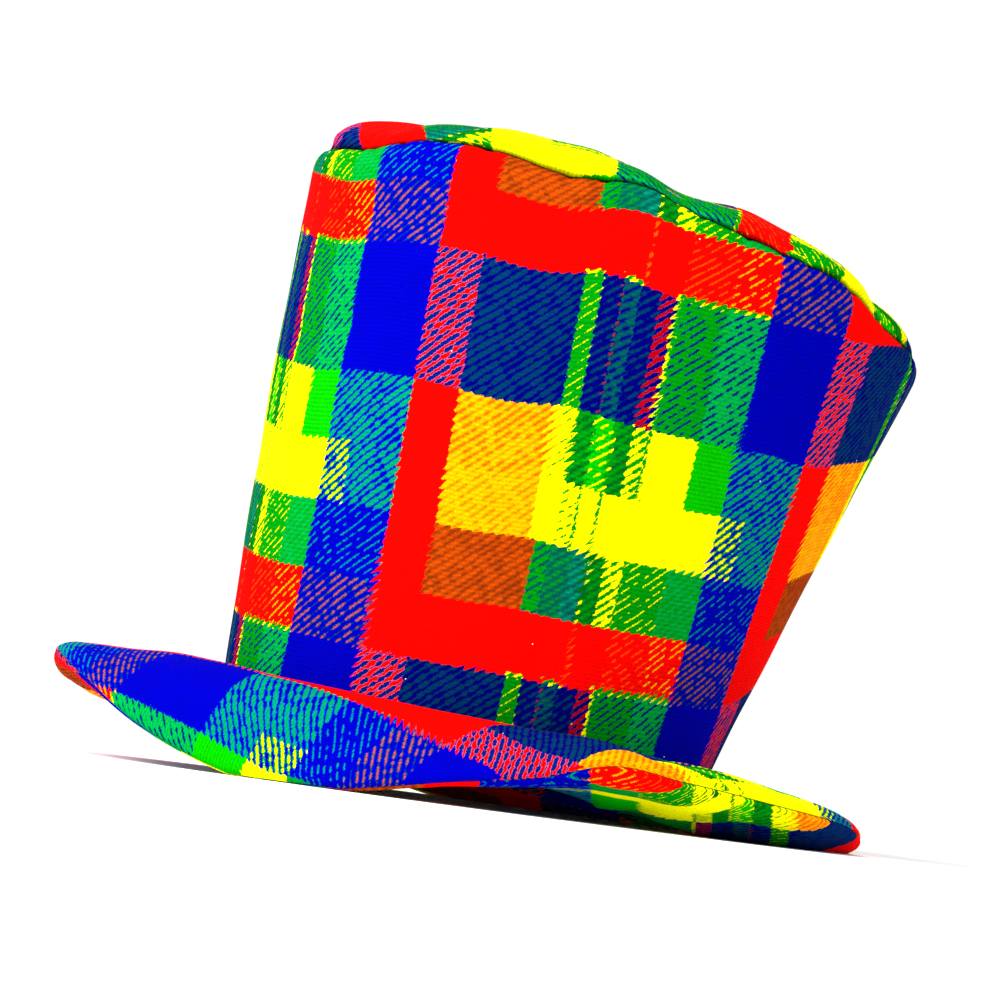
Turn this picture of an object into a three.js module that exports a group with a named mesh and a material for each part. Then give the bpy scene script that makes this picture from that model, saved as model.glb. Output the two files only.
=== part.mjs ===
// A soft, padded top hat in checked plush. Its crown flares and leans to one side, its tip is puffed up,
// and its wide brim droops at the front left, where it stands on the table.
// The hat is drawn first on its own brim plane (z = 0 at the middle of the brim's thickness, +Z up the
// crown, the wearer's front towards -Y), then leaned over until the brim stands on three places.
// Lengths are millimetres and angles are degrees. Azimuth 0 is the right side and 270 is the front.
import * as THREE from 'three';

const clearance = 0.3; // between two pieces that meet
const headRadius = 95; // inside of the lining at the head opening
const liningWall = 1;
const crownWall = 3;
const crownHeight = 215; // from the brim plane to the tip's seam, at the crown's middle
const crownTopRadius = 135.5; // the wall's outside, carried straight on to the height of the seam
const crownTopShift = 20; // the crown's top stands this far to the right of its base
const crownTopTilt = 6.3; // and its right side is this much lower
const wallWaist = 3; // how far the flaring wall is drawn in, or swells, between its two ends
const shoulderHeight = 9; // the wall's last stretch, which turns in towards the seam
const shoulderInset = 4.6;
const seamWander = 4; // how far the tip's seam strays up and down from a true ring
const tipRise = 30;
const tipWall = 3;
const puckerDepth = 3.2; // of the deepest gather where the tip is sewn on
const puckerSpread = 9; // half the width of a gather, degrees
const puckerStart = 0.08; // share of the way up the tip's side over which a gather deepens
const puckerFade = 4; // how fast it dies out towards the middle, as a power
const brimWidth = 69;
const brimTopPad = 4; // thickness of the brim's upper layer of plush and foam
const brimPuff = 4; // how much thicker the upper layer's foam stands halfway to the edge
const brimUnderPad = 3.6; // thickness of the lower layer where it is drawn tight
const brimEdgeRound = 7; // the width over which both layers close to the edge seam
const brimEdgeSeam = 0.8; // what each layer keeps of its thickness at the seam
const openingLip = 1.5; // the lower layer reaches this far inside the lining
const rollWidth = 34; // the width over which the brim bends from flat to its full fall
const rollSteps = 24; // steps in which that bend is added up
const swellPlace = 0.42; // share of the brim's width at which the foam and the sag are deepest
const underSag = 11; // how far the loosest stretch of the lower layer hangs
const restPress = 1.6; // how far the soft brim is pressed flat where it stands
const segments = 72; // facets round every piece

// The brim, going round. fall is the slope in degrees that the brim reaches at its edge, down being
// positive. The other columns are shares: flat, of brimWidth that stays level first, width, of
// brimWidth, puff, of brimPuff, and sag, of underSag.
const brimFolds = [
  { azimuth: 0, fall: -2, flat: 0, width: 1, puff: 0.7, sag: 0.9 },
  { azimuth: 22, fall: -3, flat: 0, width: 1, puff: 0.5, sag: 0.5 },
  { azimuth: 45, fall: -3, flat: 0, width: 1, puff: 0.7, sag: 0.25 },
  { azimuth: 65, fall: 1, flat: 0, width: 1, puff: 0.5, sag: 0.2 },
  { azimuth: 90, fall: 3.5, flat: 0, width: 1.01, puff: 0.3, sag: 0.2 },
  { azimuth: 112, fall: -2.5, flat: 0, width: 1, puff: 0.6, sag: 0.2 },
  { azimuth: 132, fall: -2.5, flat: 0, width: 1, puff: 0.8, sag: 0.1 },
  { azimuth: 155, fall: 1, flat: 0, width: 1, puff: 0.4, sag: 0.1 },
  { azimuth: 175, fall: -1, flat: 0.1, width: 1, puff: 0.6, sag: 0.2 },
  { azimuth: 198, fall: 0, flat: 0.2, width: 1.01, puff: 1.5, sag: 0.2 },
  { azimuth: 212, fall: 21, flat: 0.28, width: 1.03, puff: 1.6, sag: 0.2 },
  { azimuth: 224, fall: 46, flat: 0.28, width: 1.05, puff: 1.3, sag: 0.15 },
  { azimuth: 236, fall: 65, flat: 0.28, width: 1.07, puff: 0.8, sag: 0.15 },
  { azimuth: 248, fall: 73, flat: 0.28, width: 1.08, puff: 0.6, sag: 0.15 },
  { azimuth: 259, fall: 56, flat: 0.28, width: 1.06, puff: 0.5, sag: 0.2 },
  { azimuth: 270, fall: 37, flat: 0.26, width: 1.04, puff: 0.6, sag: 0.3 },
  { azimuth: 281, fall: 21, flat: 0.24, width: 1.02, puff: 0.8, sag: 0.5 },
  { azimuth: 289, fall: 5, flat: 0.2, width: 1, puff: 1.1, sag: 0.75 },
  { azimuth: 300, fall: 2, flat: 0.1, width: 1, puff: 1.3, sag: 0.9 },
  { azimuth: 315, fall: 0, flat: 0, width: 1, puff: 1.6, sag: 1 },
  { azimuth: 338, fall: -3, flat: 0, width: 1, puff: 1.3, sag: 1.1 },
];

// The crown, going round. waist and seam are shares of wallWaist and seamWander, out and up being
// positive, and puff is a share of tipRise.
const crownForms = [
  { azimuth: 0, waist: -0.3, seam: 0.5, puff: 0.7 },
  { azimuth: 30, waist: -0.2, seam: 0.2, puff: 0.7 },
  { azimuth: 75, waist: 0.1, seam: -0.3, puff: 0.9 },
  { azimuth: 120, waist: 0.3, seam: 0.3, puff: 0.8 },
  { azimuth: 155, waist: 0.6, seam: 0.2, puff: 1 },
  { azimuth: 185, waist: 0.6, seam: 1.1, puff: 0.95 },
  { azimuth: 202, waist: 0.5, seam: -0.1, puff: 0.98 },
  { azimuth: 215, waist: 0.4, seam: -1, puff: 0.92 },
  { azimuth: 230, waist: 0.3, seam: 0, puff: 0.92 },
  { azimuth: 245, waist: 0.2, seam: 0, puff: 0.98 },
  { azimuth: 259, waist: 0, seam: -0.7, puff: 1.15 },
  { azimuth: 272, waist: 0, seam: 0.5, puff: 0.72 },
  { azimuth: 280, waist: 0, seam: -0.2, puff: 0.7 },
  { azimuth: 296, waist: -0.1, seam: -0.3, puff: 1.02 },
  { azimuth: 313, waist: -0.2, seam: 0, puff: 0.78 },
  { azimuth: 325, waist: -0.3, seam: -1, puff: 0.8 },
  { azimuth: 342, waist: -0.3, seam: -0.5, puff: 0.72 },
];

// Gathers where the tip is sewn to the wall, with their depth as a share of puckerDepth.
const puckers = [
  { azimuth: 14, depth: 0.6 },
  { azimuth: 47, depth: 0.8 },
  { azimuth: 83, depth: 0.5 },
  { azimuth: 118, depth: 0.9 },
  { azimuth: 151, depth: 0.6 },
  { azimuth: 187, depth: 0.8 },
  { azimuth: 232, depth: 0.7 },
  { azimuth: 250, depth: 0.4 },
  { azimuth: 277, depth: 1 },
  { azimuth: 300, depth: 0.9 },
  { azimuth: 327, depth: 0.7 },
];

// Where the rows of facets lie, as shares: up the wall and round its shoulder, from the tip's middle
// (1) to its seam (0), and from the crown to the brim's edge.
const wallRows = [0, 0.14, 0.28, 0.42, 0.56, 0.7, 0.84, 1];
const shoulderRows = [0.35, 0.7, 0.9, 1];
const backRows = [0, 0.35, 0.7, 1];
const tipRows = [1, 0.82, 0.64, 0.48, 0.32, 0.18, 0.08, 0];
const tipBackRows = [1, 0.65, 0.3, 0];
const brimRows = [0, 0.16, 0.32, 0.48, 0.62, 0.75, 0.86];
const edgeRows = [0.35, 0.7, 0.92, 1];

// The places that the hat stands on: front left, back and right.
const restAzimuths = [247, 88, 20];

const wallRadius = headRadius + liningWall + clearance + crownWall;

const cos = (angle) => Math.cos(THREE.MathUtils.degToRad(angle));
const sin = (angle) => Math.sin(THREE.MathUtils.degToRad(angle));
const mix = THREE.MathUtils.lerp;
const ramp = THREE.MathUtils.smoothstep;

// One column of a table that goes round, read smoothly between its rows.
function around(table, column, azimuth) {
  const angle = ((azimuth % 360) + 360) % 360;
  const last = table.length - 1;
  let index = table.findLastIndex((row) => row.azimuth <= angle);
  if (index < 0) {
    index = last;
  }
  const before = table[index];
  const after = table[(index + 1) % table.length];
  const span = (after.azimuth - before.azimuth + 360) % 360;
  const share = ((angle - before.azimuth + 360) % 360) / span;
  return mix(before[column], after[column], ramp(share, 0, 1));
}

function tilted(point, share) {
  const angle = THREE.MathUtils.degToRad(crownTopTilt * share);
  return point.applyAxisAngle(new THREE.Vector3(0, 1, 0), angle);
}

// A ring's point at the height of the seam, with its radius given, on the crown's tilted top.
function topPoint(azimuth, radius, rise) {
  const flat = new THREE.Vector3(radius * cos(azimuth), radius * sin(azimuth), rise);
  return tilted(flat, 1).add(new THREE.Vector3(crownTopShift, 0, crownHeight));
}

// A point of the crown's wall. height is a share of the wall up to its shoulder, shoulder a share of the
// rest, and inward how deep the point lies behind the outside.
function wallPoint(azimuth, height, shoulder, inward, bottom) {
  const outward = new THREE.Vector3(cos(azimuth), sin(azimuth), 0);
  const base = outward.clone().multiplyScalar(wallRadius).setZ(bottom);
  const top = topPoint(azimuth, crownTopRadius, seamWander * around(crownForms, 'seam', azimuth));
  const slant = top.distanceTo(base);
  const along = 1 - (shoulderHeight / slant) * (1 - shoulder);
  const share = shoulder > 0 ? along : height * (1 - shoulderHeight / slant);
  const point = base.lerp(top, share);
  const waist = wallWaist * around(crownForms, 'waist', azimuth) * sin(180 * share);
  const inset = shoulderInset * (1 - Math.sqrt(1 - shoulder * shoulder));
  return point.addScaledVector(tilted(outward, share), waist - inset - inward);
}

// The wall's outside and inside, from the bottom up.
function wallSurfaces(azimuth) {
  const bottom = clearance / 2;
  const backShoulder = shoulderRows.filter((row, index) => index % 2 === 1);
  const surface = (rows, turnRows, inward) => [
    ...rows.map((row) => wallPoint(azimuth, row, 0, inward, bottom)),
    ...turnRows.map((row) => wallPoint(azimuth, 1, row, inward, bottom)),
  ];
  return [surface(wallRows, shoulderRows, 0), surface(backRows, backShoulder, crownWall)];
}

// How deep the gathers cut in at one azimuth, as a share of puckerDepth.
function puckerShare(azimuth) {
  return puckers.reduce((sum, { azimuth: middle, depth }) => {
    const away = Math.abs(((azimuth - middle + 540) % 360) - 180) / puckerSpread;
    return sum + (away < 1 ? depth * cos(90 * away) ** 2 : 0);
  }, 0);
}

// A point of the tip, from its seam (share 0) to its middle (share 1), inward below the outside.
function tipPoint(azimuth, share, inward) {
  const towardsEdge = cos(90 * share);
  const fade = towardsEdge ** puckerFade * ramp(share, 0, puckerStart);
  const gather = puckerDepth * puckerShare(azimuth) * fade;
  const radius = (crownTopRadius - shoulderInset - inward) * towardsEdge;
  const puff = 1 + (around(crownForms, 'puff', azimuth) - 1) * towardsEdge;
  const seam = seamWander * around(crownForms, 'seam', azimuth) * towardsEdge;
  const rise = clearance + seam + (tipRise * puff - inward) * sin(90 * share);
  return topPoint(azimuth, radius - gather, rise - gather / 2);
}

// The tip's outside and inside, from its middle out to the seam.
function tipSurfaces(azimuth) {
  return [
    tipRows.map((row) => tipPoint(azimuth, row, 0)),
    tipBackRows.map((row) => tipPoint(azimuth, row, tipWall)),
  ];
}

// The lining is a cup that lies against the inside of the wall and of the tip, from the middle of its
// top down to the head opening. These are its outside and inside.
function liningSurfaces(azimuth) {
  const bottom = clearance / 2;
  const wallBackRows = backRows.slice().reverse();
  const surface = (inward) => [
    ...tipBackRows.map((row) => tipPoint(azimuth, row, tipWall + inward)),
    ...wallBackRows.map((row) => wallPoint(azimuth, row, 0, crownWall + inward, bottom)),
  ];
  return [surface(clearance), surface(clearance + liningWall)];
}

// The middle of the brim's thickness at one share of its width: how far out, how high and how steep.
function brimMiddle(azimuth, share) {
  const width = brimWidth * around(brimFolds, 'width', azimuth);
  const fall = around(brimFolds, 'fall', azimuth);
  const start = width * around(brimFolds, 'flat', azimuth);
  let radius = wallRadius;
  let height = 0;
  let slope = 0;
  const length = (width * share) / rollSteps;
  for (let step = 0; step < rollSteps; step += 1) {
    slope = fall * ramp(length * (step + 0.5), start, start + rollWidth);
    radius += length * cos(slope);
    height -= length * sin(slope);
  }
  return { radius, height, slope };
}

// How much of its thickness a layer keeps at one share of the brim's width.
function brimFullness(share) {
  const into = Math.max(0, (share - 1) * brimWidth / brimEdgeRound + 1);
  return Math.sqrt(1 - into * into);
}

// A point that lies depth below the brim's middle, on the hat's own brim plane.
function brimPoint(azimuth, share, depth) {
  const { radius, height, slope } = brimMiddle(azimuth, share);
  const out = radius - depth * sin(slope);
  return new THREE.Vector3(out * cos(azimuth), out * sin(azimuth), height - depth * cos(slope));
}

// How far the foam swells and the lower layer hangs, as a share, from the crown to the edge.
function brimSwell(share) {
  return sin(180 * share ** (Math.log(0.5) / Math.log(swellPlace)));
}

function underDepth(share) {
  const pad = mix(brimEdgeSeam, brimUnderPad, brimFullness(share));
  return clearance / 2 + pad;
}

// The lean that stands the brim's underside on its three places, and the height to go with it.
function restingPlace() {
  const [frontLeft, back, right] = restAzimuths.map((azimuth) => {
    const share = 1 - brimEdgeRound / brimWidth / 2;
    return brimPoint(azimuth, share, underDepth(share));
  });
  const up = right.clone().sub(frontLeft).cross(back.clone().sub(frontLeft)).normalize();
  const lean = new THREE.Quaternion().setFromUnitVectors(up, new THREE.Vector3(0, 0, 1));
  const height = -frontLeft.applyQuaternion(lean).z - restPress;
  return { lean, height };
}

const resting = restingPlace();

function settle(point) {
  point.applyQuaternion(resting.lean);
  point.z += resting.height;
  return point;
}

// One place of the brim from its upper side to its underside, as it lies on the table: the pressed
// part is moved up whole, and a sagging underside stops at the table.
function brimStack(azimuth, share) {
  const under = underDepth(share);
  const fullness = brimFullness(share);
  const puff = brimPuff * around(brimFolds, 'puff', azimuth) * brimSwell(share);
  const topPad = clearance / 2 + mix(brimEdgeSeam, brimTopPad, fullness) + puff;
  const stack = {
    top: settle(brimPoint(azimuth, share, -topPad)),
    upperMiddle: settle(brimPoint(azimuth, share, -clearance / 2)),
    lowerMiddle: settle(brimPoint(azimuth, share, clearance / 2)),
    bottom: settle(brimPoint(azimuth, share, under)),
  };
  const lift = Math.max(0, -stack.bottom.z);
  Object.values(stack).forEach((point) => {
    point.z += lift;
  });
  const sag = underSag * around(brimFolds, 'sag', azimuth) * brimSwell(share);
  stack.bottom.z = Math.max(0, stack.bottom.z - sag);
  return stack;
}

const edgeStart = 1 - brimEdgeRound / brimWidth;
const wideRows = brimRows.concat(edgeRows.map((row) => mix(edgeStart, 1, row)));
const middleRows = brimRows.filter((row, index) => index % 2 === 0).concat([1]);

// The upper layer's underside and top, outwards. It starts where its top meets the flaring wall.
function brimTopSurfaces(azimuth) {
  const outward = new THREE.Vector3(cos(azimuth), sin(azimuth), 0);
  const top = brimTopPad + clearance / 2;
  const wall = wallPoint(azimuth, top / crownHeight, 0, 0, clearance / 2);
  const start = Math.max(wallRadius, Math.hypot(wall.x, wall.y)) + clearance;
  const [lowerStart, upperStart] = [clearance / 2, top].map((height) => {
    return settle(outward.clone().multiplyScalar(start).setZ(height));
  });
  const lower = middleRows.slice(1).map((row) => brimStack(azimuth, row).upperMiddle);
  const upper = wideRows.slice(1).map((row) => brimStack(azimuth, row).top);
  return [[lowerStart, ...lower], [upperStart, ...upper]];
}

// The lower layer's underside and top, outwards, from the lip of the opening under the wall.
function brimUndersideSurfaces(azimuth) {
  const outward = new THREE.Vector3(cos(azimuth), sin(azimuth), 0);
  const lip = outward.clone().multiplyScalar(headRadius - openingLip);
  const lipTop = settle(lip.clone().setZ(-clearance / 2));
  const lipBottom = settle(lip.clone().setZ(-underDepth(0)));
  const lower = wideRows.map((row) => brimStack(azimuth, row).bottom);
  const upper = middleRows.map((row) => brimStack(azimuth, row).lowerMiddle);
  return [[lipBottom, ...lower], [lipTop, ...upper]];
}

function solid(name, color, roughness, points, faces) {
  const geometry = new THREE.BufferGeometry();
  const positions = points.flatMap((point) => point.toArray());
  geometry.setAttribute('position', new THREE.Float32BufferAttribute(positions, 3));
  geometry.setIndex(faces);
  geometry.computeVertexNormals();
  const material = new THREE.MeshStandardMaterial({ color, roughness, metalness: 0 });
  const mesh = new THREE.Mesh(geometry, material);
  mesh.name = name;
  return mesh;
}

const azimuths = Array.from({ length: segments }, (_, index) => (360 * index) / segments);

// A ring between two surfaces that run the same way. Each four-sided facet is cut from the start of
// its row here to the end of it at the next azimuth, on both surfaces, so that neighbours nest.
function ringSolid(name, color, roughness, surfaces) {
  const pairs = azimuths.map(surfaces);
  const [frontCount, backCount] = pairs[0].map((surface) => surface.length);
  const count = frontCount + backCount;
  const points = pairs.flatMap(([front, back]) => [...front, ...back.slice().reverse()]);
  const faces = [];
  for (let turn = 0; turn < segments; turn += 1) {
    const here = turn * count;
    const next = ((turn + 1) % segments) * count;
    for (let row = 0; row < count; row += 1) {
      const after = (row + 1) % count;
      if (row < frontCount) {
        faces.push(here + row, next + row, next + after);
        faces.push(here + row, next + after, here + after);
      } else {
        faces.push(here + row, next + row, here + after);
        faces.push(next + row, next + after, here + after);
      }
    }
  }
  return solid(name, color, roughness, points, faces);
}

// A cap between two surfaces that run from the axis outwards, or from the top down.
function capSolid(name, color, roughness, surfaces) {
  const pairs = azimuths.map(surfaces);
  const [frontCount, backCount] = pairs[0].map((surface) => surface.length - 1);
  const count = frontCount + backCount;
  const rims = pairs.flatMap(([front, back]) => [...front.slice(1), ...back.slice(1).reverse()]);
  const points = [...rims, pairs[0][0][0], pairs[0][1][0]];
  const first = points.length - 2;
  const last = points.length - 1;
  const faces = [];
  for (let turn = 0; turn < segments; turn += 1) {
    const here = turn * count;
    const next = ((turn + 1) % segments) * count;
    faces.push(first, here, next);
    for (let row = 0; row < count - 1; row += 1) {
      if (row < frontCount) {
        faces.push(here + row, here + row + 1, next + row);
        faces.push(next + row, here + row + 1, next + row + 1);
      } else {
        faces.push(here + row, here + row + 1, next + row + 1);
        faces.push(here + row, next + row + 1, next + row);
      }
    }
    faces.push(last, next + count - 1, here + count - 1);
  }
  return solid(name, color, roughness, points, faces);
}

const settled = (surfaces) => (azimuth) => {
  return surfaces(azimuth).map((surface) => surface.map(settle));
};

const hat = new THREE.Group();
hat.add(ringSolid('crown_wall', 0xd8261c, 0.85, settled(wallSurfaces)));
hat.add(capSolid('crown_tip', 0xe8d51e, 0.85, settled(tipSurfaces)));
hat.add(capSolid('crown_lining', 0x0b0b0c, 0.7, settled(liningSurfaces)));
hat.add(ringSolid('brim_top', 0x1f39c8, 0.85, brimTopSurfaces));
hat.add(ringSolid('brim_underside', 0x1fa548, 0.85, brimUndersideSurfaces));

// The origin is the middle of the hat's box, on the table.
const box = new THREE.Box3().setFromObject(hat);
const middle = box.getCenter(new THREE.Vector3());
hat.position.set(-middle.x, -middle.y, -box.min.z);

export default hat;
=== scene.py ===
import math

import bpy
import numpy as np
from mathutils import Matrix, Vector


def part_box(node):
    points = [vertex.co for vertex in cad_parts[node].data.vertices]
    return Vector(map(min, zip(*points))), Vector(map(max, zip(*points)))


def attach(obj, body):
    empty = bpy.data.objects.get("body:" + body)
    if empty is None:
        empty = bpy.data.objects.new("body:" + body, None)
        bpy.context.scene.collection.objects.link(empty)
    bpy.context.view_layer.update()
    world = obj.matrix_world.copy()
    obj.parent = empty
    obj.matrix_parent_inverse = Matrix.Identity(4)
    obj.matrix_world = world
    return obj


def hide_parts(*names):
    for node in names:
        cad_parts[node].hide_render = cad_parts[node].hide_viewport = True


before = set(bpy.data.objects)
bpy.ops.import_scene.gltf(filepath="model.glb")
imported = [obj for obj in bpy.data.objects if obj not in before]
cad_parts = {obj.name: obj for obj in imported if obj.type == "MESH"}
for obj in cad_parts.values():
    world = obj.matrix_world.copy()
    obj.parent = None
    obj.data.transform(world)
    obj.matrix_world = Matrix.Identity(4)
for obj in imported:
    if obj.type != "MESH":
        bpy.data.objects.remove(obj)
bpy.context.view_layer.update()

# A padded costume top hat in checked plush, built over its solids. Lengths are millimetres and angles
# degrees until a mesh is made. Azimuth 0 is the hat's right side, 90 its back and 270 its front.
mm = 0.001

join = {"clearance": 0.3}  # between two pieces that meet


def table(columns, *rows):
    return [dict(zip(columns, row)) for row in rows]


crown = {
    "headRadius": 95,       # inside of the lining at the opening
    "liningWall": 1,
    "wall": 3,
    "height": 215,          # from the brim plane to the tip's seam
    "topRadius": 135.5,
    "topShift": 20,         # the top stands this far to the right
    "topTilt": 6.3,         # and its right side is this much lower
    "waist": 3,
    "shoulderHeight": 9,
    "shoulderInset": 4.6,
    "seamWander": 4,
    "tipRise": 30,
    "tipWall": 3,
}
crown["radius"] = crown["headRadius"] + crown["liningWall"] + join["clearance"] + crown["wall"]

crownForms = table(  # going round: waist and seam as shares of waist and seamWander, puff of tipRise
    ("azimuth", "waist", "seam", "puff"),
    (0, -0.3, 0.5, 0.7),
    (30, -0.2, 0.2, 0.7),
    (75, 0.1, -0.3, 0.9),
    (120, 0.3, 0.3, 0.8),
    (155, 0.6, 0.2, 1),
    (185, 0.6, 1.1, 0.95),
    (202, 0.5, -0.1, 0.98),
    (215, 0.4, -1, 0.92),
    (230, 0.3, 0, 0.92),
    (245, 0.2, 0, 0.98),
    (259, 0, -0.7, 1.15),
    (272, 0, 0.5, 0.72),
    (280, 0, -0.2, 0.7),
    (296, -0.1, -0.3, 1.02),
    (313, -0.2, 0, 0.78),
    (325, -0.3, -1, 0.8),
    (342, -0.3, -0.5, 0.72),
)

brim = {
    "width": 69,
    "topPad": 4,
    "puff": 4,
    "underPad": 3.6,
    "edgeRound": 7,         # the width over which both layers close to the edge seam
    "edgeSeam": 0.8,
    "openingLip": 1.5,
    "rollWidth": 34,
    "rollSteps": 24,
    "swellPlace": 0.42,
    "sag": 11,
    "press": 1.6,           # how far the soft brim is pressed flat where it stands
    "restAzimuths": (247, 88, 20),
}

brimFolds = table(  # going round: fall in degrees at the edge, the rest as shares
    ("azimuth", "fall", "flat", "width", "puff", "sag"),
    (0, -2, 0, 1, 0.7, 0.9),
    (22, -3, 0, 1, 0.5, 0.5),
    (45, -3, 0, 1, 0.7, 0.25),
    (65, 1, 0, 1, 0.5, 0.2),
    (90, 3.5, 0, 1.01, 0.3, 0.2),
    (112, -2.5, 0, 1, 0.6, 0.2),
    (132, -2.5, 0, 1, 0.8, 0.1),
    (155, 1, 0, 1, 0.4, 0.1),
    (175, -1, 0.1, 1, 0.6, 0.2),
    (198, 0, 0.2, 1.01, 1.5, 0.2),
    (212, 21, 0.28, 1.03, 1.6, 0.2),
    (224, 46, 0.28, 1.05, 1.3, 0.15),
    (236, 65, 0.28, 1.07, 0.8, 0.15),
    (248, 73, 0.28, 1.08, 0.6, 0.15),
    (259, 56, 0.28, 1.06, 0.5, 0.2),
    (270, 37, 0.26, 1.04, 0.6, 0.3),
    (281, 21, 0.24, 1.02, 0.8, 0.5),
    (289, 5, 0.2, 1, 1.1, 0.75),
    (300, 2, 0.1, 1, 1.3, 0.9),
    (315, 0, 0, 1, 1.6, 1),
    (338, -3, 0, 1, 1.3, 1.1),
)


def cosd(angle):
    return np.cos(np.radians(angle))


def sind(angle):
    return np.sin(np.radians(angle))


def mix(low, high, share):
    return low + (high - low) * share


def ramp(value, low, high):
    share = np.clip((value - low) / (high - low), 0, 1)
    return share * share * (3 - 2 * share)


def bell(value, width):
    return np.exp(-(value / width) ** 2)


def stack(*parts):
    return np.stack(np.broadcast_arrays(*parts), -1).astype(float)


def awayFrom(place, azimuth):  # degrees from a place, from -180 to 180
    return np.mod(azimuth - place + 180, 360) - 180


def around(rows, column, azimuth):  # one column of a table that goes round, read as a smooth curve
    starts = np.array([row["azimuth"] + turn for turn in (-360, 0, 360) for row in rows], float)
    values = np.array([row[column] for row in rows] * 3, float)
    slopes = np.gradient(values, starts)
    angle = np.mod(azimuth, 360)
    before = np.searchsorted(starts, angle, side="right") - 1
    span = starts[before + 1] - starts[before]
    share = (angle - starts[before]) / span
    bend = span * share * (1 - share) * ((1 - share) * slopes[before] - share * slopes[before + 1])
    return mix(values[before], values[before + 1], ramp(share, 0, 1)) + bend


# The crown, on the hat's own brim plane

def tilted(points, share):  # leans towards the right
    c, s = cosd(crown["topTilt"] * share), sind(crown["topTilt"] * share)
    x, y, z = points[..., 0], points[..., 1], points[..., 2]
    return stack(x * c + z * s, y, z * c - x * s)


def topPoint(azimuth, radius, rise):
    flat = stack(radius * cosd(azimuth), radius * sind(azimuth), rise)
    return tilted(flat, 1) + np.array([crown["topShift"], 0, crown["height"]])


def wallPoint(azimuth, height, shoulder, inward):
    bottom = join["clearance"] / 2
    outward = stack(cosd(azimuth), sind(azimuth), 0)
    base = stack(crown["radius"] * cosd(azimuth), crown["radius"] * sind(azimuth), bottom)
    top = topPoint(azimuth, crown["topRadius"], crown["seamWander"] * around(crownForms, "seam", azimuth))
    shoulderShare = crown["shoulderHeight"] / np.linalg.norm(top - base, axis=-1)
    share = np.where(shoulder > 0, 1 - shoulderShare * (1 - shoulder), height * (1 - shoulderShare))
    waist = crown["waist"] * around(crownForms, "waist", azimuth) * sind(180 * share)
    inset = crown["shoulderInset"] * (1 - np.sqrt(1 - shoulder * shoulder))
    offset = waist - inset - inward
    return mix(base, top, share[..., None]) + tilted(outward, share) * offset[..., None]


def tipPoint(azimuth, share, inward, gather):
    towardsEdge = cosd(90 * share)
    radius = (crown["topRadius"] - crown["shoulderInset"] - inward) * towardsEdge
    puff = 1 + (around(crownForms, "puff", azimuth) - 1) * towardsEdge
    seam = crown["seamWander"] * around(crownForms, "seam", azimuth) * towardsEdge
    rise = join["clearance"] + seam + (crown["tipRise"] * puff - inward) * sind(90 * share)
    return topPoint(azimuth, radius - gather, rise - gather / 2)


# The brim, from the crown (share 0) to its edge (share 1)

brimLift = {"azimuth": 215, "wide": 24, "height": 3.8, "start": 0.3}  # the edge stands above the solid's


def brimMiddle(azimuth, share):
    width = brim["width"] * around(brimFolds, "width", azimuth)
    fall = around(brimFolds, "fall", azimuth)
    start = width * around(brimFolds, "flat", azimuth)
    step = width * share / brim["rollSteps"]
    radius, height, slope = crown["radius"] + 0 * step, 0 * step, 0 * step
    for count in range(brim["rollSteps"]):
        slope = fall * ramp(step * (count + 0.5), start, start + brim["rollWidth"])
        radius = radius + step * cosd(slope)
        height = height - step * sind(slope)
    return radius, height, slope


def brimPoint(azimuth, share, depth):
    radius, height, slope = brimMiddle(azimuth, share)
    out = radius - depth * sind(slope)
    return stack(out * cosd(azimuth), out * sind(azimuth), height - depth * cosd(slope))


def brimFullness(share):
    into = np.maximum(0, (share - 1) * brim["width"] / brim["edgeRound"] + 1)
    return np.sqrt(np.maximum(0, 1 - into * into))


def brimSwell(share):
    return sind(180 * np.power(share, math.log(0.5) / math.log(brim["swellPlace"])))


def underDepth(share):
    return join["clearance"] / 2 + mix(brim["edgeSeam"], brim["underPad"], brimFullness(share))


def restingPlace():  # the lean that stands the brim on its three places
    share = np.array(1 - brim["edgeRound"] / brim["width"] / 2)
    places = [brimPoint(np.array(float(a)), share, underDepth(share)) for a in brim["restAzimuths"]]
    frontLeft, back, right = (Vector(place) for place in places)
    up = (right - frontLeft).cross(back - frontLeft).normalized()
    lean = np.array(up.rotation_difference(Vector((0, 0, 1))).to_matrix())
    return lean, -(lean @ places[0])[2] - brim["press"]


lean, lift = restingPlace()


def settle(points):
    return points @ lean.T + np.array([0, 0, lift])


def topDepth(azimuth, share):
    puff = brim["puff"] * around(brimFolds, "puff", azimuth) * brimSwell(share)
    return join["clearance"] / 2 + mix(brim["edgeSeam"], brim["topPad"], brimFullness(share)) + puff


def brimLayer(azimuth, share, depth):  # a layer as it lies, lifted where the brim is pressed flat
    away = bell(awayFrom(brimLift["azimuth"], azimuth), brimLift["wide"])
    rise = (brimLift["height"] * away * ramp(share, brimLift["start"], 1))[..., None] * (0, 0, 1)
    under = settle(brimPoint(azimuth, share, underDepth(share))) + rise
    points = settle(brimPoint(azimuth, share, depth)) + rise
    points[..., 2] += np.maximum(0, -under[..., 2])
    return points


# Where the part's frame lies: the edge of the brim is matched to the solid brim's box

solidEdge = {"azimuthStep": 5, "roundRows": (0.35, 0.7, 0.92, 1)}  # where the solid's edge has its corners


def frameShift():
    azimuth = np.arange(0, 360, float(solidEdge["azimuthStep"]))[:, None]
    edgeStart = 1 - brim["edgeRound"] / brim["width"]
    share = mix(edgeStart, 1, np.array(solidEdge["roundRows"]))[None, :]
    above = topDepth(azimuth, share)
    layers = [brimLayer(azimuth, share, depth) for depth in (-above, -join["clearance"] / 2 + 0 * above)]
    points = np.concatenate(layers).reshape(-1, 3)
    low, high = (np.array(corner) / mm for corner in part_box("brim_top"))
    shift = (low + high - points.min(0) - points.max(0)) / 2
    return shift * (1, 1, 0)


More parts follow.
